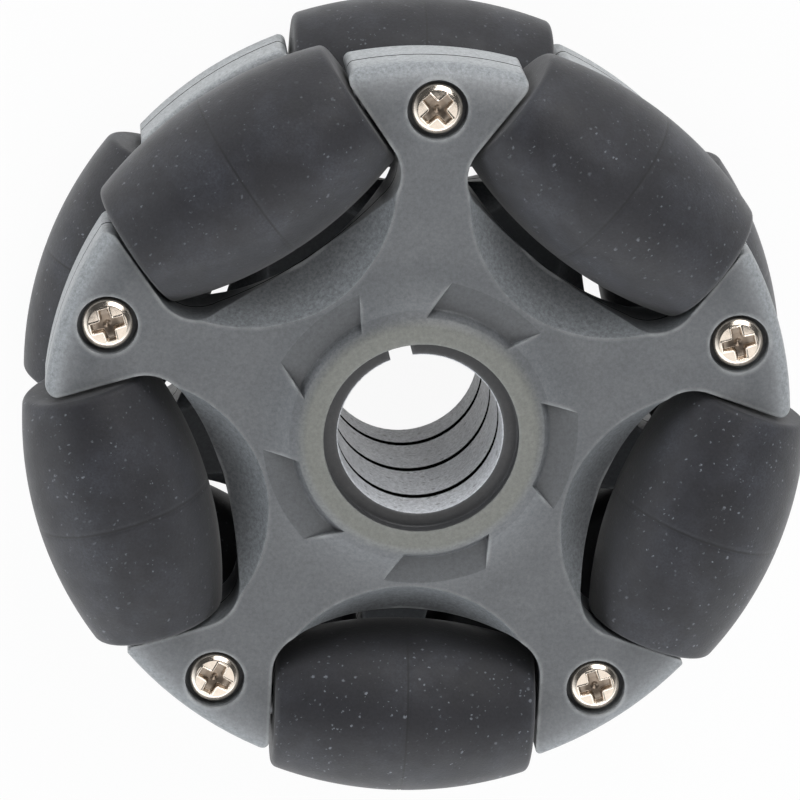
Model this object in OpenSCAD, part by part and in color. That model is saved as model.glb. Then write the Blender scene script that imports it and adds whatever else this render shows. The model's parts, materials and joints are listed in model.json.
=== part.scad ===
// Double omni wheel: two staggered layers of five barrel rollers.
// Each layer is a pair of moulded plates that clamp the roller pins between them.
// Millimetres. +Z runs along the wheel's bore, and the origin is the wheel's centre.

/* [Wheel] */

// Rolling diameter over the roller crowns
wheel_d = 58; // [40:0.5:120]
// Rollers in each layer, and arms between them
rollers = 5; // [5:1:5]
// Radius of a roller at its crown
crown_r = 6.5; // [4:0.1:9]
// How far two layers' crowns pass each other's planes, where the barrels cross
layer_nest = 0.15; // [0:0.05:0.4]

/* [Rollers] */

// Room from a roller's end to the middle of the arm beside it, along its axis
arm_room = 6.65; // [5.5:0.05:9]
// Rounding of a roller's end edges
roller_edge = 0.6; // [0.1:0.1:1.5]
// Diameter of the steel roller pins
pin_d = 2; // [1.5:0.1:3]
// Radial running clearance between a roller's bore and its pin
pin_run_gap = 0.05; // [0.02:0.01:0.1]
// Length of a pin that is clamped in each arm
pin_seat = 2.4; // [1.5:0.1:3]
// Radial gap between a pin and its clamped seat
pin_seat_gap = 0.01; // [0:0.005:0.03]
// Gap beyond each pin end
pin_end_gap = 0.1; // [0.02:0.01:0.4]

/* [Plates] */

// How far the arms' rim stays inside the rolling circle
rim_inset = 1.5; // [1:0.1:4]
// Half thickness of a layer at its arms
arm_half = 3.55; // [3:0.05:5]
// Rounding from an arm's face to its rim
rim_round = 1.5; // [0.3:0.1:2.5]
// Rounding of the rim's edge on the side of the other layer
rim_back_round = 0.7; // [0.3:0.1:2.5]
// Rounding of an arm's two rim corners seen from the front
corner_round = 0.8; // [0.3:0.1:3]
// Gap between a roller's end and the arm beside it
end_gap = 0.3; // [0.2:0.05:1]
// Gap between a roller's crown and the pocket's inner wall
crown_gap = 1.15; // [0.5:0.05:2]
// Rounding of a pocket's two inner corners
pocket_round = 3.2; // [0.5:0.1:3.5]
// How far the dish round a roller reaches past its crown, on the arm's face
dish_reach = 4.1; // [2:0.1:6]
// How far it still reaches past the crown at the parting plane
dish_foot = 1.05; // [0.4:0.05:1.5]

/* [Hub] */

// Diameter of the through bore
bore_d = 12.1; // [8:0.1:14]
// Diameter of the shallow counterbore at each end
counter_d = 14.3; // [12:0.1:15]
// Depth of the counterbore
counter_depth = 1.1; // [0.5:0.1:2]
// Height of the hub ring above the arm's face
ring_rise = 1.3; // [0.5:0.1:2]
// Outer radius of the flat hub ring
ring_r = 8.5; // [8:0.1:9.5]
// Rounding of the hub ring's outer edge
ring_round = 0.6; // [0.2:0.1:1]
// How far the hub's hollow flank runs out from the ring to the arm's face
flank_run = 4.5; // [3:0.1:5]
// Wall left between the boss and the dishes, where the two layers meet
boss_land = 0.5; // [0.2:0.1:2]
// Width of the key notch in the counterbore's lip
notch_w = 1.65; // [1:0.05:3]
// Angle of the key notch, from +X
notch_a = 106; // [0:1:359]
// Chamfer at each plate's bore edges
joint_chamfer = 0.12; // [0.05:0.01:0.4]

/* [Hub recesses] */

// Depth of a recess below the ring, at its inner wall
recess_depth = 1.15; // [0.4:0.05:1.2]
// Radius of a recess's inner wall, at the ring's height
recess_r = 8.9; // [8.5:0.1:9.5]
// How far that wall spreads from there down to the floor
recess_foot = 0.6; // [0.1:0.1:0.8]
// Slope of a recess floor, rising outward
recess_slope = 1; // [0:1:12]
// Distance of a recess's square side from the roller's centre line
recess_side = 5.4; // [3:0.1:6]
// Distance of its slanted side past the centre line, at the ring
recess_back = 0.4; // [0:0.1:3]
// Slant of that side
recess_slant = 31; // [0:1:50]

/* [Screws] */

// How far the screws sit outside the circle of the roller axes
screw_out = 1.7; // [1:0.1:3]
// Diameter of a screw head
head_d = 3.7; // [3:0.1:4]
// Height of a screw head
head_h = 1.2; // [0.8:0.1:1.8]
// Diameter of the counterbore round a screw head
head_hole_d = 4.4; // [3.8:0.1:5]
// Depth of a screw head's top below the arm's face
head_sink = 0.15; // [0:0.05:1]
// Diameter of a screw's shank
shank_d = 2; // [1.6:0.1:2.5]
// Length of a screw's shank
shank_len = 4.4; // [3:0.1:5]
// Radial clearance of a shank in the outer plate
shank_gap = 0.1; // [0.05:0.01:0.3]
// Radial clearance of a shank in the inner plate
thread_gap = 0.02; // [0.005:0.005:0.05]
// Depth of the cross recess in a screw head
cross_depth = 0.6; // [0.3:0.05:0.9]
// Width of a slot of the cross
cross_w = 0.65; // [0.3:0.05:0.8]
// Length of a slot of the cross
cross_len = 2.3; // [1.4:0.1:2.6]

/* [Hidden] */

eps = 0.01;
wheel_r = wheel_d / 2;
step = 360 / rollers;
pitch_r = wheel_r - crown_r;
layer_z = crown_r - layer_nest;
roller_len = 2 * (pitch_r * tan(step / 2) - arm_room);
rim_r = wheel_r - rim_inset;
dish_face_r = crown_r + dish_reach;
dish_mid_r = crown_r + dish_foot;
boss_r = pitch_r - dish_face_r - boss_land;
screw_pcd_r = pitch_r + screw_out;
roller_a0 = 126;
arm_a0 = 90;
rear_turn = 216;
cross_turns = [45, 36, 9, 72, 88];
face_z = layer_z + arm_half;
inner_z = layer_z - arm_half;
ring_z = face_z + ring_rise;
ledge_z = ring_z - counter_depth;
flank_a = 4;
flank_out = ring_r + flank_run;
flank_gain = ring_rise * cos(flank_a) - flank_run * sin(flank_a);
flank_r = (pow(flank_run, 2) + pow(ring_rise, 2)) / (2 * flank_gain);
flank_x = flank_out + flank_r * sin(flank_a);
flank_z = face_z + flank_r * cos(flank_a);
edge_z = ring_z - ring_round;
edge_r = flank_x - sqrt(pow(flank_r + ring_round, 2) - pow(flank_z - edge_z, 2));
touch_r = edge_r + (flank_x - edge_r) * ring_round / (flank_r + ring_round);
touch_z = edge_z + (flank_z - edge_z) * ring_round / (flank_r + ring_round);
pocket_half = roller_len / 2 + end_gap;
pocket_arc_v = 2 * pitch_r;
pocket_arc_r = wheel_r + crown_gap;
corner_u = pocket_half - pocket_round;
corner_v = pocket_arc_v - sqrt(pow(pocket_arc_r - pocket_round, 2) - pow(corner_u, 2)) - 0.03;
corner_tan_u = corner_u * pocket_arc_r / (pocket_arc_r - pocket_round);
tip_u = pocket_half + corner_round;
tip_reach = rim_r - corner_round + 0.04;
tip_v = sqrt(pow(tip_reach, 2) - pow(tip_u, 2));
tip_out = rim_r + 3;
dish_a = dish_face_r * dish_face_r - dish_mid_r * dish_mid_r;
dish_h = (dish_a / arm_half + arm_half) / 2 + layer_z;
dish_r = sqrt(pow(dish_mid_r, 2) + pow(dish_h - layer_z, 2));
dish_limit = pocket_half - 0.2;
seat_z = face_z - head_sink - head_h;
pin_len = 2 * (pocket_half + pin_seat);
pin_r = pin_d / 2;

// Lays out one layer's places: the child's +Y becomes the outward direction.
module at_roller(k) {
  rotate([0, 0, roller_a0 + step * k - 90])
    children();
}

module at_arm(k) {
  rotate([0, 0, arm_a0 + step * k - 90])
    children();
}

// Turns a front part over into the rear layer.
module to_rear() {
  rotate([0, 0, rear_turn])
    rotate([180, 0, 0])
      children();
}

// A roller's pocket in plan, following the barrel, with rounded inner corners.
module pocket_plan() {
  intersection() {
    translate([0, pocket_arc_v])
      circle(r = pocket_arc_r, $fn = 120);
    translate([-corner_tan_u, 0])
      square([2 * corner_tan_u, pitch_r]);
  }
  translate([-pocket_half, corner_v])
    square([2 * pocket_half, tip_out - corner_v]);
  for (s = [-1, 1])
    translate([s * corner_u, corner_v])
      circle(r = pocket_round, $fn = 32);
}

// What rounds off the two arm tips beside a pocket.
module tip_plan() {
  for (s = [-1, 1])
    mirror([s < 0 ? 1 : 0, 0])
      difference() {
        polygon([
          [tip_u, tip_v],
          [pocket_half - eps, tip_v],
          [pocket_half - eps, tip_out],
          [tip_u * tip_out / tip_reach, tip_v * tip_out / tip_reach]
        ]);
        translate([tip_u, tip_v])
          circle(r = corner_round, $fn = 32);
      }
}

// Half section of the hub's top: flat ring, rounded edge and hollow flank.
module hub_section() {
  difference() {
    union() {
      translate([bore_d / 2, layer_z])
        square([edge_r - bore_d / 2, ring_z - layer_z]);
      translate([edge_r, edge_z])
        circle(r = ring_round, $fn = 32);
      polygon([
        [bore_d / 2, layer_z],
        [flank_out + 0.5, layer_z],
        [flank_out + 0.5, touch_z],
        [touch_r, touch_z],
        [edge_r, edge_z],
        [bore_d / 2, edge_z]
      ]);
    }
    translate([flank_x, flank_z])
      circle(r = flank_r, $fn = 160);
  }
}

// Half section of a layer, revolved: rim, rounded edges, hub and bore.
module layer_section() {
  difference() {
    union() {
      translate([bore_d / 2, inner_z])
        square([rim_r - rim_back_round - bore_d / 2, arm_half]);
      translate([bore_d / 2, layer_z])
        square([rim_r - rim_round - bore_d / 2, arm_half]);
      translate([bore_d / 2, inner_z + rim_back_round])
        square([rim_r - bore_d / 2, 2 * arm_half - rim_round - rim_back_round]);
      translate([rim_r - rim_back_round, inner_z + rim_back_round])
        circle(r = rim_back_round, $fn = 32);
      translate([rim_r - rim_round, face_z - rim_round])
        circle(r = rim_round, $fn = 40);
      translate([bore_d / 2, 0])
        square([boss_r - bore_d / 2, layer_z]);
      hub_section();
    }
    translate([0, ledge_z])
      square([counter_d / 2, counter_depth + 1]);
  }
}

// The layer's bowl-shaped dish round one roller, opening towards its face
// and no wider than the pocket.
module dish_section() {
  intersection() {
    translate([0, dish_h - layer_z])
      circle(r = dish_r, $fn = 96);
    square([dish_face_r + 2, ring_z - layer_z + 1]);
  }
}

module dish(side) {
  translate([0, pitch_r, layer_z])
    mirror([0, 0, side < 0 ? 1 : 0])
      translate([0, 0, -eps])
        intersection() {
          rotate_extrude($fn = 96)
            dish_section();
          translate([-dish_limit, -dish_face_r - 3, -1])
            cube([2 * dish_limit, 2 * dish_face_r + 6, ring_z - layer_z + 3]);
        }
}

// One recess in the hub's flank: sloped wall along the ring, one square side.
module recess() {
  wall_h = recess_depth * 1.5;
  difference() {
    translate([0, ring_r, ring_z - recess_depth])
      rotate([recess_slope, 0, 0])
        translate([0, -ring_r, 0])
          linear_extrude(height = recess_depth + 1)
            polygon([
              [-recess_side, ring_r * 0.55],
              [-recess_side, flank_out],
              [recess_back + flank_run * tan(recess_slant), flank_out],
              [recess_back - ring_r * 0.45 * tan(recess_slant), ring_r * 0.55]
            ]);
    translate([0, 0, ring_z - wall_h])
      cylinder(h = wall_h, r1 = recess_r + recess_foot * 1.5, r2 = recess_r, $fn = 96);
    translate([0, 0, ring_z - eps])
      cylinder(h = 2, r = recess_r, $fn = 96);
  }
}

// A whole layer before it is split: plan shape, section, pockets and dishes.
module layer_body() {
  difference() {
    intersection() {
      rotate_extrude($fn = 160)
        layer_section();
      difference() {
        cylinder(h = ring_z + 1, r = rim_r + 1, $fn = 160);
        for (k = [0 : rollers - 1])
          at_roller(k)
            translate([0, 0, -1])
              linear_extrude(height = ring_z + 3) {
                pocket_plan();
                tip_plan();
              }
      }
    }
    for (k = [0 : rollers - 1])
      at_roller(k) {
        dish(1);
        dish(-1);
        translate([-pin_len / 2 - pin_end_gap, pitch_r, layer_z])
          rotate([0, 90, 0])
            cylinder(h = pin_len + 2 * pin_end_gap, r = pin_r + pin_seat_gap, $fn = 32);
      }
  }
}

// Breaks the two bore edges of a plate that lies between two heights.
module bore_chamfers(z0, z1) {
  r = bore_d / 2;
  translate([0, 0, z0 - eps])
    cylinder(h = joint_chamfer + eps, r1 = r + joint_chamfer + eps, r2 = r, $fn = 96);
  translate([0, 0, z1 - joint_chamfer])
    cylinder(h = joint_chamfer + eps, r1 = r, r2 = r + joint_chamfer + eps, $fn = 96);
}

module outer_plate() {
  color([0.43, 0.45, 0.46])
    difference() {
      intersection() {
        layer_body();
        translate([0, 0, layer_z])
          cylinder(h = ring_z - layer_z + 1, r = rim_r + 2, $fn = 160);
      }
      bore_chamfers(layer_z, ledge_z);
      for (k = [0 : rollers - 1])
        at_roller(k)
          recess();
      for (k = [0 : rollers - 1])
        at_arm(k)
          translate([0, screw_pcd_r, 0]) {
            translate([0, 0, seat_z])
              cylinder(h = arm_half, r = head_hole_d / 2, $fn = 48);
            translate([0, 0, layer_z - 1])
              cylinder(h = arm_half, r = shank_d / 2 + shank_gap, $fn = 32);
          }
      rotate([0, 0, notch_a])
        translate([0, -notch_w / 2, layer_z - 1])
          cube([counter_d / 2 - 0.05, notch_w, ring_z]);
    }
}

module inner_plate() {
  color([0.41, 0.43, 0.44])
    difference() {
      intersection() {
        layer_body();
        cylinder(h = layer_z, r = rim_r + 2, $fn = 160);
      }
      bore_chamfers(0, layer_z);
      for (k = [0 : rollers - 1])
        at_arm(k)
          translate([0, screw_pcd_r, seat_z - shank_len - 0.2])
            cylinder(h = layer_z, r = shank_d / 2 + thread_gap, $fn = 32);
    }
}

// Half section of a roller: barrel arc, rounded end edges and running bore.
module roller_section() {
  half = roller_len / 2;
  end_r = sqrt(wheel_r * wheel_r - half * half) - pitch_r;
  r0 = pin_r + pin_run_gap;
  edge_y = half - roller_edge;
  edge_x = sqrt(pow(wheel_r - roller_edge, 2) - edge_y * edge_y) - pitch_r;
  difference() {
    union() {
      intersection() {
        translate([-pitch_r, 0])
          circle(r = wheel_r, $fn = 180);
        translate([0, -edge_y])
          square([wheel_r, 2 * edge_y]);
      }
      translate([0, -half])
        square([edge_x, roller_len]);
      for (s = [-1, 1])
        translate([edge_x, s * edge_y])
          circle(r = roller_edge, $fn = 24);
    }
    translate([-wheel_r, -half - 1])
      square([wheel_r + r0, roller_len + 2]);
  }
}

module roller(k) {
  color([0.16, 0.16, 0.17])
    at_roller(k)
      translate([0, pitch_r, layer_z])
        rotate([0, 90, 0])
          rotate_extrude($fn = 48)
            roller_section();
}

module pin(k) {
  c = 0.2;
  color([0.7, 0.7, 0.72])
    at_roller(k)
      translate([-pin_len / 2, pitch_r, layer_z])
        rotate([0, 90, 0]) {
          cylinder(h = c, r1 = pin_r - c, r2 = pin_r, $fn = 32);
          translate([0, 0, c])
            cylinder(h = pin_len - 2 * c, r = pin_r, $fn = 32);
          translate([0, 0, pin_len - c])
            cylinder(h = c, r1 = pin_r, r2 = pin_r - c, $fn = 32);
        }
}

// Half section of a screw head: short wall and low domed top.
module head_section() {
  wall = head_h * 0.55;
  rise = head_h - wall;
  dome_r = (pow(head_d / 2, 2) + rise * rise) / (2 * rise);
  square([head_d / 2, wall]);
  intersection() {
    translate([0, head_h - dome_r])
      circle(r = dome_r, $fn = 120);
    square([head_d / 2, head_h]);
  }
}

module screw(k) {
  color([0.78, 0.76, 0.72])
    at_arm(k)
      translate([0, screw_pcd_r, seat_z]) {
        difference() {
          rotate_extrude($fn = 48)
            head_section();
          for (a = [0, 90])
            rotate([0, 0, cross_turns[k] + a])
              translate([-cross_len / 2, -cross_w / 2, head_h - cross_depth])
                cube([cross_len, cross_w, cross_depth + 1]);
        }
        translate([0, 0, -shank_len + 0.3])
          cylinder(h = shank_len - 0.3, r = shank_d / 2, $fn = 32);
        translate([0, 0, -shank_len])
          cylinder(h = 0.3, r1 = shank_d / 2 - 0.3, r2 = shank_d / 2, $fn = 32);
      }
}

module front_outer_plate() {
  outer_plate();
}

module front_inner_plate() {
  inner_plate();
}

module rear_inner_plate() {
  to_rear()
    inner_plate();
}

module rear_outer_plate() {
  to_rear()
    outer_plate();
}

module front_roller_1() {
  roller(0);
}

module front_roller_2() {
  roller(1);
}

module front_roller_3() {
  roller(2);
}

module front_roller_4() {
  roller(3);
}

module front_roller_5() {
  roller(4);
}

module rear_roller_1() {
  to_rear()
    roller(0);
}

module rear_roller_2() {
  to_rear()
    roller(1);
}

module rear_roller_3() {
  to_rear()
    roller(2);
}

module rear_roller_4() {
  to_rear()
    roller(3);
}

module rear_roller_5() {
  to_rear()
    roller(4);
}

module front_pin_1() {
  pin(0);
}

module front_pin_2() {
  pin(1);
}

module front_pin_3() {
  pin(2);
}

module front_pin_4() {
  pin(3);
}

module front_pin_5() {
  pin(4);
}

module rear_pin_1() {
  to_rear()
    pin(0);
}

module rear_pin_2() {
  to_rear()
    pin(1);
}

module rear_pin_3() {
  to_rear()
    pin(2);
}

module rear_pin_4() {
  to_rear()
    pin(3);
}

module rear_pin_5() {
  to_rear()
    pin(4);
}

module front_screw_1() {
  screw(0);
}

module front_screw_2() {
  screw(1);
}

module front_screw_3() {
  screw(2);
}

module front_screw_4() {
  screw(3);
}

module front_screw_5() {
  screw(4);
}

module rear_screw_1() {
  to_rear()
    screw(0);
}

module rear_screw_2() {
  to_rear()
    screw(1);
}

module rear_screw_3() {
  to_rear()
    screw(2);
}

module rear_screw_4() {
  to_rear()
    screw(3);
}

module rear_screw_5() {
  to_rear()
    screw(4);
}

front_outer_plate();
front_inner_plate();
rear_inner_plate();
rear_outer_plate();
front_roller_1();
front_roller_2();
front_roller_3();
front_roller_4();
front_roller_5();
rear_roller_1();
rear_roller_2();
rear_roller_3();
rear_roller_4();
rear_roller_5();
front_pin_1();
front_pin_2();
front_pin_3();
front_pin_4();
front_pin_5();
rear_pin_1();
rear_pin_2();
rear_pin_3();
rear_pin_4();
rear_pin_5();
front_screw_1();
front_screw_2();
front_screw_3();
front_screw_4();
front_screw_5();
rear_screw_1();
rear_screw_2();
rear_screw_3();
rear_screw_4();
rear_screw_5();
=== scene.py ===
"""Looks of the double omni wheel: moulded plates, rubber rollers, screws, light and camera."""
import json
import math

import bmesh
import bpy
from mathutils import Matrix, Vector


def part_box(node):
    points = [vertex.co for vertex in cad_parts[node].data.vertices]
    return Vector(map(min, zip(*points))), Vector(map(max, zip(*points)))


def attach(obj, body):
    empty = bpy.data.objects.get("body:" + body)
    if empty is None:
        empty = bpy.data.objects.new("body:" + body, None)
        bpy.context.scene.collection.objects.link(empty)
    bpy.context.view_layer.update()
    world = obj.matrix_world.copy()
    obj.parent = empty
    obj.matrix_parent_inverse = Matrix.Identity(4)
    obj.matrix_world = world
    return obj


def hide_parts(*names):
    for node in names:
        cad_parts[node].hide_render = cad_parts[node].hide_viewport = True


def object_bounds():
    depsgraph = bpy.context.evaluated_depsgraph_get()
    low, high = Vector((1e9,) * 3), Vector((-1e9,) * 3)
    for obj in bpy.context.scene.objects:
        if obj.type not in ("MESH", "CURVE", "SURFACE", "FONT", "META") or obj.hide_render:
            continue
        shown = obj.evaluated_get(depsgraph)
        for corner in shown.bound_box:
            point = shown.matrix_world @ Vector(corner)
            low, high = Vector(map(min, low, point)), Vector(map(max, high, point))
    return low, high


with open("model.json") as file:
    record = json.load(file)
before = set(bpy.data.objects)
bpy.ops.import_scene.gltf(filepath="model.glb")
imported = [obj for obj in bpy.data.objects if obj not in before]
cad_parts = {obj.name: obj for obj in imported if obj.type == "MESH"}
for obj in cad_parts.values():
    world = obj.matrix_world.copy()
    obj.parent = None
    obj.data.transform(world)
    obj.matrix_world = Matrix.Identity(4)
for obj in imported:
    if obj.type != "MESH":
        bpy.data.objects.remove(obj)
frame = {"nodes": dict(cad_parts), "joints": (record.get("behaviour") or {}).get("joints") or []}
cad_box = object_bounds()
scene = bpy.context.scene
MM = 0.001
ALONG = "along_axis"


def rgb(r, g, b):
    """sRGB 0-255 to a linear colour."""
    def lin(c):
        c /= 255
        return c / 12.92 if c <= 0.04045 else ((c + 0.055) / 1.055) ** 2.4
    return (lin(r), lin(g), lin(b), 1.0)


# ---------------------------------------------------------------- node helpers
class Nodes:
    """A material's node tree with short calls for the usual nodes. Coordinates are in mm."""

    def __init__(self, name):
        self.mat = bpy.data.materials.new(name)
        self.mat.use_nodes = True
        self.tree = self.mat.node_tree
        self.tree.nodes.clear()
        self.out = self.add("ShaderNodeOutputMaterial")
        self.bsdf = self.add("ShaderNodeBsdfPrincipled")
        self.link(self.bsdf.outputs["BSDF"], self.out.inputs["Surface"])
        metres = self.add("ShaderNodeTexCoord").outputs["Object"]
        self.coord = self.scaled(metres, 1000.0)

    def add(self, kind, **values):
        node = self.tree.nodes.new(kind)
        for key, value in values.items():
            setattr(node, key, value)
        return node

    def link(self, a, b):
        self.tree.links.new(a, b)

    def put(self, socket, value):
        if isinstance(value, bpy.types.NodeSocket):
            self.link(value, socket)
        else:
            size = getattr(socket.default_value, "__len__", int)
            socket.default_value = value[:size()] if size() else value

    def math(self, operation, a, b=0.0, clamp=False):
        node = self.add("ShaderNodeMath", operation=operation, use_clamp=clamp)
        self.put(node.inputs[0], a)
        self.put(node.inputs[1], b)
        return node.outputs[0]

    def axes(self, vector=None):
        node = self.add("ShaderNodeSeparateXYZ")
        self.link(vector or self.coord, node.inputs[0])
        return node.outputs["X"], node.outputs["Y"], node.outputs["Z"]

    def scaled(self, vector, factor):
        node = self.add("ShaderNodeVectorMath", operation="SCALE")
        self.put(node.inputs[0], vector)
        self.put(node.inputs["Scale"], factor)
        return node.outputs[0]

    def hypot(self, a, b):
        return self.math("SQRT", self.math("ADD", self.math("POWER", self.math("ABSOLUTE", a), 2),
                                           self.math("POWER", self.math("ABSOLUTE", b), 2)))

    def remap(self, value, a, b, c, d, soft=False):
        node = self.add("ShaderNodeMapRange")
        node.interpolation_type = "SMOOTHSTEP" if soft else "LINEAR"
        self.put(node.inputs["Value"], value)
        for key, number in zip(("From Min", "From Max", "To Min", "To Max"), (a, b, c, d)):
            self.put(node.inputs[key], number)
        return node.outputs["Result"]

    def noise(self, scale, detail=3.0, rough=0.5, coord=None):
        node = self.add("ShaderNodeTexNoise")
        self.link(coord or self.coord, node.inputs["Vector"])
        node.inputs["Scale"].default_value = scale
        node.inputs["Detail"].default_value = detail
        node.inputs["Roughness"].default_value = rough
        return node.outputs["Fac"]

    def mix(self, fac, a, b):
        node = self.add("ShaderNodeMix", data_type="RGBA")
        self.put(node.inputs["Factor"], fac)
        self.put(node.inputs["A"], a)
        self.put(node.inputs["B"], b)
        return node.outputs["Result"]

    def specks(self, scale, radius, share, coord=None):
        """Sparse round specks: a share of the cells hold one, of up to the radius."""
        node = self.add("ShaderNodeTexVoronoi", feature="F1")
        self.link(coord or self.coord, node.inputs["Vector"])
        node.inputs["Scale"].default_value = scale
        split = self.add("ShaderNodeSeparateColor")
        self.link(node.outputs["Color"], split.inputs[0])
        size = self.math("MULTIPLY", split.outputs[1], radius)
        near = self.remap(self.math("DIVIDE", node.outputs["Distance"], size), 0.5, 1.1, 1, 0)
        chosen = self.math("LESS_THAN", split.outputs[0], share)
        return self.math("MULTIPLY", near, chosen)

    def lint(self, turn, share, coord):
        """Sparse short hairs lying along one direction."""
        node = self.add("ShaderNodeMapping", vector_type="TEXTURE")
        self.link(coord, node.inputs["Vector"])
        node.inputs["Rotation"].default_value = turn
        node.inputs["Scale"].default_value = (2.2, 0.26, 0.26)
        return self.specks(1.0, 0.16, share, node.outputs[0])

    def bump(self, height, strength, distance=MM, normal=None):
        node = self.add("ShaderNodeBump")
        node.inputs["Strength"].default_value = strength
        node.inputs["Distance"].default_value = distance
        self.put(node.inputs["Height"], height)
        if normal:
            self.link(normal, node.inputs["Normal"])
        return node.outputs["Normal"]

    def rounded(self, radius, samples=6):
        node = self.add("ShaderNodeBevel", samples=samples)
        node.inputs["Radius"].default_value = radius * MM
        return node.outputs["Normal"]

    def outer_edges(self, reach, samples=6):
        """1 along the outward edges of a solid, 0 where the surface is flat or hollow."""
        node = self.add("ShaderNodeAmbientOcclusion", inside=True, only_local=True,
                        samples=samples)
        node.inputs["Distance"].default_value = reach * MM
        return self.remap(node.outputs["AO"], 0.97, 0.55, 0, 1)

    def hollows(self, reach, samples=5):
        """1 deep in corners and recesses, 0 where the surface is open."""
        node = self.add("ShaderNodeAmbientOcclusion", only_local=True, samples=samples)
        node.inputs["Distance"].default_value = reach * MM
        return self.remap(node.outputs["AO"], 0.95, 0.35, 0, 1)

    def openness(self, reach, samples=5):
        """1 where nothing stands within reach of the surface, 0 in the closest gaps."""
        node = self.add("ShaderNodeAmbientOcclusion", samples=samples)
        node.inputs["Distance"].default_value = reach * MM
        return node.outputs["AO"]

    def steepness(self):
        """0 on surfaces that face along Z, 1 on upright ones."""
        z = self.axes(self.add("ShaderNodeNewGeometry").outputs["True Normal"])[2]
        return self.math("SUBTRACT", 1.0, self.math("ABSOLUTE", z), clamp=True)


# ---------------------------------------------------------------- materials
# Radii and heights that bound the plates' zones, in mm from the wheel's centre. Those of the
# bore, ledge and ring lie a hair outside the CAD's faces, so that the faces fall inside them.
BORE_R_MAX, LEDGE_R, RING_R, RECESS_WALL_R, FLANK_R, RIM_R = 6.3, 7.2, 8.2, 9.15, 9.6, 27.2
PARTING_Z, LEDGE_Z, RECESS_Z, RING_Z = 6.35, 10.05, 10.08, 11.1


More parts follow.
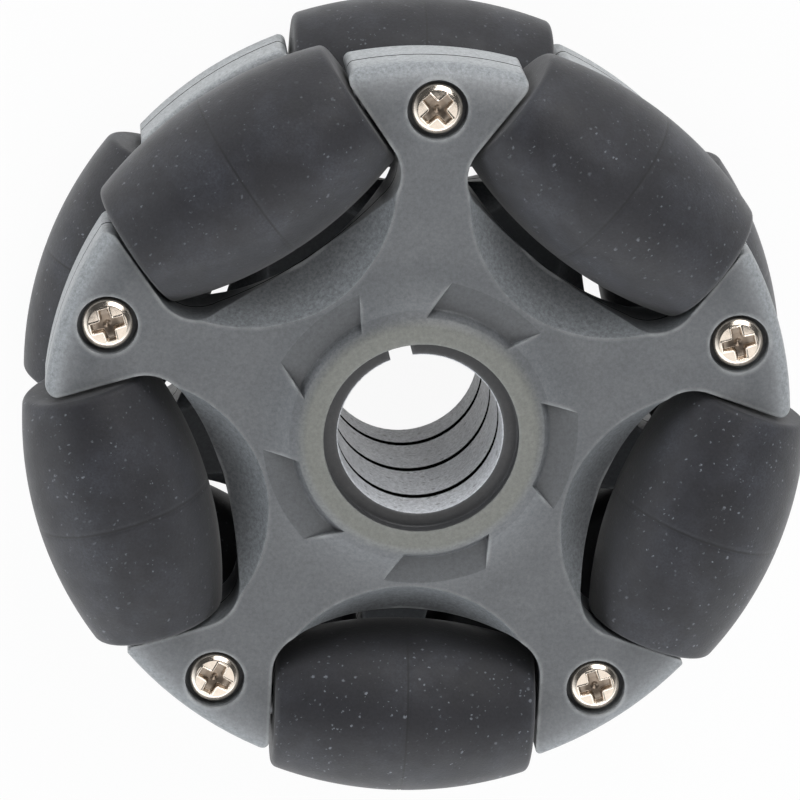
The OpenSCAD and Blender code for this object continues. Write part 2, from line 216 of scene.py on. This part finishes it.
def plate_material():
    """Moulded grey plastic: sandy grain, warm ring, speckled bore, dark parting lines; painted
    light on rims, edges, steep walls and bore, painted shade in recesses, hollows and on the
    ledge.
    """
    n = Nodes("moulded_grey")
    x, y, z = n.axes()
    radius = n.hypot(x, y)
    height = n.math("ABSOLUTE", z)
    steep = n.steepness()

    base = n.mix(n.noise(0.3, 3), rgb(90, 92, 95), rgb(105, 107, 109))
    ring = n.math("MULTIPLY", n.remap(radius, RING_R, 9.3, 1, 0, soft=True),
                  n.remap(height, 10.4, 10.8, 0, 1))
    base = n.mix(ring, base, rgb(117, 118, 113))
    # Painted shade along the foot of the ring's recess wall.
    off_wall = n.math("ABSOLUTE", n.math("SUBTRACT", radius, RECESS_WALL_R))
    wall_foot_shade = n.math("MULTIPLY", n.remap(off_wall, 0.15, 0.55, 1, 0, soft=True),
                  n.remap(height, 10.25, 10.6, 1, 0))
    wall_foot_shade = n.math("MULTIPLY", wall_foot_shade, n.remap(n.noise(1.6, 3, 0.7), 0.35, 0.6, 0.2, 0.65))
    base = n.mix(wall_foot_shade, base, rgb(52, 53, 55))
    # Painted light: the faces grow lighter towards the rims.
    base = n.mix(n.remap(radius, 24.6, RIM_R, 0, 0.6, soft=True), base, rgb(140, 142, 144))
    # Painted light on the steep rim walls.
    rim_wall_light = n.math("MULTIPLY", n.remap(steep, 0.1, 0.8, 0, 0.5), n.remap(radius, 26.2, RIM_R, 0, 1))
    base = n.mix(rim_wall_light, base, rgb(176, 180, 182))
    # Painted light on steep dish and flank walls near the face.
    flank_light = n.math("MULTIPLY", n.remap(steep, 0.01, 0.2, 0, 0.68),
                   n.remap(height, 6.6, 9.5, 0, 1, soft=True))
    base = n.mix(n.math("MULTIPLY", flank_light, n.math("GREATER_THAN", radius, FLANK_R)), base,
                 rgb(130, 134, 137))
    # Painted shade on the recess floors.
    off_floor = n.math("ABSOLUTE", n.math("SUBTRACT", height, RECESS_Z))
    level = n.math("MULTIPLY", n.remap(off_floor, 0.05, 0.09, 1, 0),
                   n.remap(steep, 0.0005, 0.004, 1, 0))
    recess_floor_shade = n.math("MULTIPLY", level, n.math("GREATER_THAN", radius, 8.5))
    base = n.mix(n.math("MULTIPLY", recess_floor_shade, 0.45), base, rgb(72, 74, 77))
    # Painted shade on the counterbore ledge and wall.
    ledge_shade = n.math("MULTIPLY", n.math("LESS_THAN", radius, LEDGE_R),
                  n.math("LESS_THAN", height, RING_Z))
    base = n.mix(ledge_shade, base, rgb(66, 66, 67))
    # The bore walls painted light, with real dark specks on them.
    bore = n.math("MULTIPLY", n.math("LESS_THAN", radius, BORE_R_MAX),
                  n.math("LESS_THAN", height, LEDGE_Z))
    speckled = n.mix(n.math("MULTIPLY", n.specks(1.9, 0.46, 0.34), 0.6), rgb(198, 200, 204),
                     rgb(76, 77, 80))
    base = n.mix(bore, base, speckled)
    swing = n.math("ADD", n.remap(steep, 0, 0.3, 0, 1.1), 0.95)
    sand = n.math("MULTIPLY", n.math("SUBTRACT", n.noise(3.6, 4, 0.8), 0.5), swing)
    base = n.scaled(base, n.math("ADD", sand, 1.0))
    # Painted shade deep in hollows and corners, strongest near the hub.
    hollow_shade = n.math("MULTIPLY", n.hollows(1.6), n.remap(radius, 11.5, 13.5, 0.5, 0.15))
    base = n.mix(hollow_shade, base, rgb(50, 51, 54))
    # Painted highlight along the outward edges, broken up by noise and weaker near the hub.
    edge_highlight = n.math("MULTIPLY", n.outer_edges(0.35), n.remap(n.noise(1.1, 2), 0.35, 0.65, 0.25, 0.6))
    edge_highlight = n.math("MULTIPLY", edge_highlight, n.remap(radius, 9.0, 10.5, 0.25, 1))
    base = n.mix(edge_highlight, base, rgb(176, 178, 178))
    part = n.math("MINIMUM", n.math("ABSOLUTE", n.math("SUBTRACT", height, PARTING_Z)), height)
    line = n.remap(part, n.remap(bore, 0, 1, 0.08, 0.36), n.remap(bore, 0, 1, 0.13, 0.46), 1, 0)
    base = n.mix(line, base, rgb(6, 6, 6))
    n.put(n.bsdf.inputs["Base Color"], base)
    n.put(n.bsdf.inputs["Roughness"], n.remap(n.noise(1.0, 3), 0.3, 0.7, 0.36, 0.46))
    n.put(n.bsdf.inputs["Specular IOR Level"], n.remap(line, 0, 1, 0.5, 0))

    fall = n.bump(n.remap(radius, 23.8, RIM_R, 0, -0.65, soft=True), 1.0, MM, n.rounded(0.25))
    grain = n.bump(n.noise(6.0, 2, 0.6), 0.3, 0.02 * MM, fall)
    n.put(n.bsdf.inputs["Normal"], n.bump(n.noise(0.5, 2), 0.2, 0.06 * MM, grain))
    return n.mat


def roller_material():
    """Charcoal rubber: mottled, faintly dusty, with lint, a mould seam and painted shade in the
    gaps.
    """
    n = Nodes("charcoal_rubber")
    along = n.add("ShaderNodeAttribute", attribute_name=ALONG).outputs["Fac"]

    base = n.mix(n.noise(0.28, 4, 0.6), rgb(20, 20, 25), rgb(29, 29, 35))
    base = n.scaled(base, n.remap(n.noise(4.6, 3, 0.7), 0.3, 0.7, 0.62, 1.38))
    film = n.math("MULTIPLY", n.remap(n.noise(0.18, 3, 0.6), 0.48, 0.72, 0, 0.38),
                  n.remap(n.noise(5.5, 3, 0.7), 0.4, 0.62, 0.35, 1))
    base = n.mix(film, base, rgb(74, 77, 86))
    shift = n.add("ShaderNodeVectorMath", operation="ADD")
    n.link(n.coord, shift.inputs[0])
    n.link(n.scaled(n.noise(3.0, 3, 0.7), 0.5), shift.inputs[1])
    ragged = shift.outputs[0]
    dust = n.math("MAXIMUM", n.specks(1.3, 0.22, 0.4, ragged), n.specks(3.0, 0.36, 0.36, ragged))
    hairs = n.math("MAXIMUM", n.lint((0.4, 0.7, 0.3), 0.09, ragged),
                   n.lint((1.2, -0.5, 1.9), 0.09, ragged))
    hairs = n.math("MAXIMUM", hairs, n.lint((-0.6, 1.4, 0.9), 0.09, ragged))
    dust = n.math("MULTIPLY", n.math("MAXIMUM", dust, hairs),
                  n.remap(n.noise(0.3, 3, 0.6), 0.42, 0.62, 0.1, 0.7))
    each = n.add("ShaderNodeObjectInfo").outputs["Random"]
    dust = n.math("MULTIPLY", dust, n.remap(each, 0, 1, 0.55, 1.2))
    base = n.mix(dust, base, rgb(138, 142, 150))
    # Painted shade: darker where other parts stand close round the roller.
    shade = n.remap(n.openness(9.0), 0.3, 0.8, 0.25, 1)
    base = n.scaled(base, shade)
    seam = n.remap(n.math("ABSOLUTE", along), 0.05, 0.09, 0.85, 0)
    base = n.mix(seam, base, rgb(14, 14, 17))
    n.put(n.bsdf.inputs["Base Color"], base)
    n.put(n.bsdf.inputs["Roughness"], n.remap(n.noise(0.7, 3, 0.5), 0.3, 0.7, 0.5, 0.62))
    n.bsdf.inputs["Specular IOR Level"].default_value = 0.42
    n.bsdf.inputs["Sheen Weight"].default_value = 0.2
    n.bsdf.inputs["Sheen Roughness"].default_value = 0.5
    grain = n.bump(n.noise(5.0, 3, 0.6), 0.6, 0.03 * MM)
    n.put(n.bsdf.inputs["Normal"], n.bump(n.noise(0.45, 2, 0.5), 0.15, 0.08 * MM, grain))
    return n.mat


def steel_material():
    """Ground steel of the roller pins."""
    n = Nodes("ground_steel")
    n.put(n.bsdf.inputs["Base Color"], n.mix(n.noise(0.9, 4, 0.6), rgb(150, 150, 152),
                                             rgb(118, 118, 121)))
    n.put(n.bsdf.inputs["Roughness"], n.remap(n.noise(1.8, 3), 0.3, 0.7, 0.25, 0.4))
    n.bsdf.inputs["Metallic"].default_value = 1.0
    n.put(n.bsdf.inputs["Normal"], n.bump(n.noise(2.6, 3, 0.6), 0.12, 0.02 * MM))
    return n.mat


def nickel_material():
    """Bright nickel plate, stained brown in the cross."""
    n = Nodes("nickel_plate")
    x, y, z = n.axes()
    deep = n.math("MULTIPLY", n.remap(z, HEAD_H - 0.5, HEAD_H - 0.28, 1, 0),
                  n.math("LESS_THAN", n.hypot(x, y), 1.3))
    plate = n.mix(n.noise(1.6, 4, 0.6), rgb(246, 236, 224), rgb(228, 213, 196))
    stain = n.mix(n.noise(5.0, 3, 0.6), rgb(120, 102, 84), rgb(60, 46, 36))
    n.put(n.bsdf.inputs["Base Color"], n.mix(n.math("MULTIPLY", deep, 0.85), plate, stain))
    n.put(n.bsdf.inputs["Roughness"],
          n.math("ADD", n.remap(n.noise(3.0, 3), 0.3, 0.7, 0.14, 0.22),
                 n.math("MULTIPLY", deep, 0.15)))
    n.bsdf.inputs["Metallic"].default_value = 1.0
    n.put(n.bsdf.inputs["Normal"], n.bump(n.noise(3.0, 2, 0.5), 0.15, 0.03 * MM))
    return n.mat


# ---------------------------------------------------------------- mesh helpers
def new_object(name, verts, faces, matrix, material):
    """A smooth-shaded mesh object in the scene, its faces turned outward."""
    mesh = bpy.data.meshes.new(name)
    mesh.from_pydata(verts, [], faces)
    mesh.update()
    bm = bmesh.new()
    bm.from_mesh(mesh)
    bmesh.ops.recalc_face_normals(bm, faces=bm.faces)
    bm.to_mesh(mesh)
    bm.free()
    for poly in mesh.polygons:
        poly.use_smooth = True
    mesh.materials.append(material)
    obj = bpy.data.objects.new(name, mesh)
    obj.matrix_world = matrix
    scene.collection.objects.link(obj)
    return obj


def dress(piece, node, body):
    """Hangs a piece on its body and hides the CAD node it stands in for."""
    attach(piece, body)
    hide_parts(node)


def skin(rings, closed):
    """Quads between rings of equal length, the last joined to the first where closed."""
    count = len(rings[0])
    faces = []
    for i in range(len(rings) if closed else len(rings) - 1):
        a = i * count
        b = (i + 1) % len(rings) * count
        for k in range(count):
            l = (k + 1) % count
            faces.append((a + k, a + l, b + l, b + k))
    return [v for ring in rings for v in ring], faces


# ---------------------------------------------------------------- rollers
WHEEL_R, CROWN_R, EDGE, BORE_R = 29.0, 6.5, 0.6, 1.05
AROUND, ARC_STEPS, EDGE_STEPS = 112, 26, 6
SEAM = ((-0.2, -0.001), (-0.1, -0.03), (0, -0.004), (0.1, -0.03), (0.2, -0.001))


def roller_profile(half):
    """Barrel arc with a fine seam at mid-length, rounded end edges and the bore, as (x, r)."""
    pitch = WHEEL_R - CROWN_R
    edge_x = half - EDGE
    edge_r = math.sqrt((WHEEL_R - EDGE) ** 2 - edge_x ** 2) - pitch
    reach = math.asin(edge_x / (WHEEL_R - EDGE))
    arc = []
    for i in range(-ARC_STEPS, ARC_STEPS + 1):
        a = reach * i / ARC_STEPS
        if i == 0:
            arc += [(dx, CROWN_R + dr) for dx, dr in SEAM]
        else:
            arc.append((WHEEL_R * math.sin(a), WHEEL_R * math.cos(a) - pitch))
    end = []
    for i in range(1, EDGE_STEPS + 1):
        a = reach + (math.pi / 2 - reach) * i / EDGE_STEPS
        end.append((edge_x + EDGE * math.sin(a), edge_r + EDGE * math.cos(a)))
    end += [(half, edge_r * 0.7), (half, BORE_R + 0.12), (half - 0.12, BORE_R)]
    return [(-x, r) for x, r in reversed(end)] + arc + end


def axis_matrix(origin, x_axis):
    """A frame at the origin with its X along the axis and its Z along the wheel's bore."""
    x = Vector(x_axis).normalized()
    z = Vector((0, 0, 1))
    m = Matrix((x, z.cross(x), z)).transposed().to_4x4()
    m.translation = Vector(origin)
    return m


def make_roller(joint, half, material):
    """A barrel on its joint's axis, each point of it marked with its place along that axis."""
    turns = [2 * math.pi * k / AROUND for k in range(AROUND)]
    rings = [[(x * MM, r * MM * math.cos(a), r * MM * math.sin(a)) for a in turns]
             for x, r in roller_profile(half)]
    verts, faces = skin(rings, closed=True)
    place = axis_matrix(joint["pos_m"], joint["axis"])
    placed = [place @ Vector(v) for v in verts]
    barrel = new_object("barrel_" + joint["child"], placed, faces, Matrix(), material)
    mark = barrel.data.attributes.new(ALONG, "FLOAT", "POINT")
    mark.data.foreach_set("value", [v[0] / MM for v in verts])
    return barrel


# ---------------------------------------------------------------- screws
HEAD_R, HEAD_H, SHANK_R = 1.85, 1.2, 1.0
CROSS_DEPTH, CROSS_W, CROSS_LEN, CROSS_ROUND = 0.6, 0.74, 2.35, 0.14
CROSS_TURNS = (45, 36, 9, 72, 88)
ARM_STEP, REAR_TURN = 72, 216
CROWN_DROP, SHOULDER_W, SHOULDER_SLOPE, EDGE_ROUND = 0.12, 0.42, 0.42, 0.12
HEAD_TURNS, HEAD_RINGS = 160, 64


def smooth(value):
    """Eases from 0 at 0 to 1 at 1, and holds outside."""
    t = min(1, max(0, value))
    return t * t * (3 - 2 * t)


def dome(r):
    """Height of the plain head at a radius: shallow crown, sloping shoulder, rounded edge."""
    crown = CROWN_DROP * (r / HEAD_R) ** 2
    shoulder = SHOULDER_SLOPE * max(0, r - HEAD_R + SHOULDER_W) ** 1.15
    edge = min(1, max(0, (r - HEAD_R + EDGE_ROUND) / EDGE_ROUND))
    return HEAD_H - crown - shoulder - EDGE_ROUND * (1 - math.sqrt(1 - edge ** 2))


def cross_gap(x, y):
    """Distance outside the cross's outline, negative inside it; its inner corners are round."""
    x, y = abs(x), abs(y)
    along, across = max(x, y), min(x, y)
    wing = max(across - CROSS_W / 2 + 0.05 * along, along - CROSS_LEN / 2)
    corner = CROSS_W / 2 + CROSS_ROUND
    if along < corner:
        return min(wing, CROSS_ROUND - math.hypot(corner - x, corner - y))
    return wing


def head_top(x, y):
    """Height of the head with its driven cross: raised lips, steep walls and a deeper middle."""
    r = math.hypot(x, y)
    gap = cross_gap(x, y)
    lip = 0.055 * math.exp(-((gap - 0.06) / 0.05) ** 2)
    floor = CROSS_DEPTH - 0.18 * smooth(r / 1.1) + 0.12 * smooth(1 - r / 0.35)
    return dome(r) + lip - floor * smooth(0.5 - gap / 0.16)


def make_screw(name, matrix, length, material):
    """One closed skin from the middle of the head, over its edge and down to the shank's tip."""
    count = HEAD_TURNS
    turns = [2 * math.pi * k / count for k in range(count)]
    tops = [HEAD_R * i / HEAD_RINGS for i in range(1, HEAD_RINGS + 1)]
    rings = [[(r * math.cos(a), r * math.sin(a), head_top(r * math.cos(a), r * math.sin(a)))
              for a in turns] for r in tops]
    low = HEAD_H - length
    below = [(HEAD_R, 0.35), (HEAD_R - 0.05, 0.03), (HEAD_R - 0.12, 0), (SHANK_R, 0),
             (SHANK_R, low + 0.3), (SHANK_R - 0.3, low)]
    rings += [[(r * math.cos(a), r * math.sin(a), z) for a in turns] for r, z in below]
    verts, faces = skin(rings, closed=False)
    verts += [(0, 0, head_top(0, 0)), (0, 0, low)]
    last = len(verts) - 2 - count
    for k in range(count):
        l = (k + 1) % count
        faces.append((k, l, len(verts) - 2))
        faces.append((last + k, last + l, len(verts) - 1))
    verts = [tuple(c * MM for c in v) for v in verts]
    return new_object(name, verts, faces, matrix, material)


def screw_matrix(node, row, index):
    """Where a screw's seat lies, from its node's box, with its own turn of the cross."""
    lo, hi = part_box(node)
    turn = math.radians(ARM_STEP * index + CROSS_TURNS[index])
    if row == "front":
        seat = hi.z - HEAD_H * MM
        flip = Matrix.Identity(4)
    else:
        seat = lo.z + HEAD_H * MM
        flip = Matrix.Rotation(math.radians(REAR_TURN), 4, "Z") @ Matrix.Rotation(math.pi, 4, "X")
    place = Vector(((lo.x + hi.x) / 2, (lo.y + hi.y) / 2, seat))
    return Matrix.Translation(place) @ flip @ Matrix.Rotation(turn, 4, "Z"), (hi.z - lo.z) / MM


# ---------------------------------------------------------------- dressing the frame
rubber = roller_material()
moulded = plate_material()
steel = steel_material()
nickel = nickel_material()

front_low, front_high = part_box("front_roller_3")
half_length = (front_high.x - front_low.x) / 2 / MM
for joint in frame["joints"]:
    node = joint["child"]
    dress(make_roller(joint, half_length, rubber), node, node)

for row in ("front", "rear"):
    for index in range(5):
        node = "%s_screw_%d" % (row, index + 1)
        matrix, length = screw_matrix(node, row, index)
        dress(make_screw("pan_head_%s_%d" % (row, index + 1), matrix, length, nickel),
              node, "wheel")

for name, obj in frame["nodes"].items():
    if name.endswith("_plate") or "_pin_" in name:
        for slot in obj.material_slots:
            slot.material = moulded if name.endswith("_plate") else steel


# ---------------------------------------------------------------- floor, light, camera
def floor_material():
    """White paper that stays white to the camera and in reflections."""
    n = Nodes("pale_floor")
    paper = n.add("ShaderNodeBsdfDiffuse")
    paper.inputs["Color"].default_value = (0.88, 0.88, 0.88, 1)
    glow = n.add("ShaderNodeEmission")
    path = n.add("ShaderNodeLightPath")
    seen = n.math("MAXIMUM", path.outputs["Is Camera Ray"], path.outputs["Is Glossy Ray"])
    mixer = n.add("ShaderNodeMixShader")
    n.link(n.math("MULTIPLY", seen, 0.94), mixer.inputs[0])
    n.link(paper.outputs[0], mixer.inputs[1])
    n.link(glow.outputs[0], mixer.inputs[2])
    n.link(mixer.outputs[0], n.out.inputs["Surface"])
    n.tree.nodes.remove(n.bsdf)
    return n.mat


def area_light(name, place, size, power, color=(1, 1, 1)):
    """A round lamp aimed at the wheel's centre."""
    lamp = bpy.data.lights.new(name, "AREA")
    lamp.shape = "DISK"
    lamp.size = size
    lamp.energy = power
    lamp.color = color
    obj = bpy.data.objects.new(name, lamp)
    obj.location = place
    obj.rotation_euler = (-Vector(place)).to_track_quat("-Z", "Y").to_euler()
    scene.collection.objects.link(obj)


SPAN = 2.0
corners = [(-SPAN, -SPAN, 0), (SPAN, -SPAN, 0), (SPAN, SPAN, 0), (-SPAN, SPAN, 0)]
floor = new_object("floor", corners, [(0, 1, 2, 3)],
                   Matrix.Translation((0, 0, cad_box[0][2])), floor_material())

SIDES, TOP = 2.2, 0.06
TENT_UP = (0.12, 0.28, 1.0)


def light_tent():
    """White sides all round that darken overhead, where the camera stands."""
    world = bpy.data.worlds.new("tent")
    scene.world = world
    world.use_nodes = True
    tree = world.node_tree
    background = tree.nodes["Background"]
    background.inputs["Color"].default_value = (0.94, 0.97, 1.0, 1)
    height = tree.nodes.new("ShaderNodeVectorMath")
    height.operation = "DOT_PRODUCT"
    tree.links.new(tree.nodes.new("ShaderNodeTexCoord").outputs["Generated"], height.inputs[0])
    height.inputs[1].default_value = TENT_UP
    fade = tree.nodes.new("ShaderNodeMapRange")
    fade.interpolation_type = "SMOOTHSTEP"
    for key, value in (("From Min", 0.2), ("From Max", 0.75), ("To Min", SIDES), ("To Max", TOP)):
        fade.inputs[key].default_value = value
    tree.links.new(height.outputs["Value"], fade.inputs["Value"])
    tree.links.new(fade.outputs["Result"], background.inputs["Strength"])


light_tent()
area_light("window", (0.03, 0.19, 0.09), 0.12, 0.15)
area_light("ceiling", (0.05, -0.24, 0.43), 0.46, 0.54, (1.0, 0.98, 0.96))
area_light("upper", (0.10, 0.20, 0.325), 0.24, 0.42)

FOCAL_PX, DISTANCE, FRAME_PX, SENSOR_MM = 4262.3, 320.7, 800, 36
TURN = (0.3019, 0.0740, -0.0520)
SHIFT = (0.7311, 0.4967)
turn = (Matrix.Rotation(TURN[0], 3, "X") @ Matrix.Rotation(TURN[1], 3, "Y")
        @ Matrix.Rotation(TURN[2], 3, "Z"))
back = turn.transposed()
place = back @ Vector((-SHIFT[0], -SHIFT[1], DISTANCE))
camera = bpy.data.cameras.new("camera")
camera.sensor_width = SENSOR_MM
camera.lens = FOCAL_PX / FRAME_PX * SENSOR_MM
camera.clip_start = 0.01
view = bpy.data.objects.new("camera", camera)
view.matrix_world = Matrix.Translation(place * MM) @ back.to_4x4()
scene.collection.objects.link(view)
scene.camera = view
scene.view_settings.view_transform = "Standard"
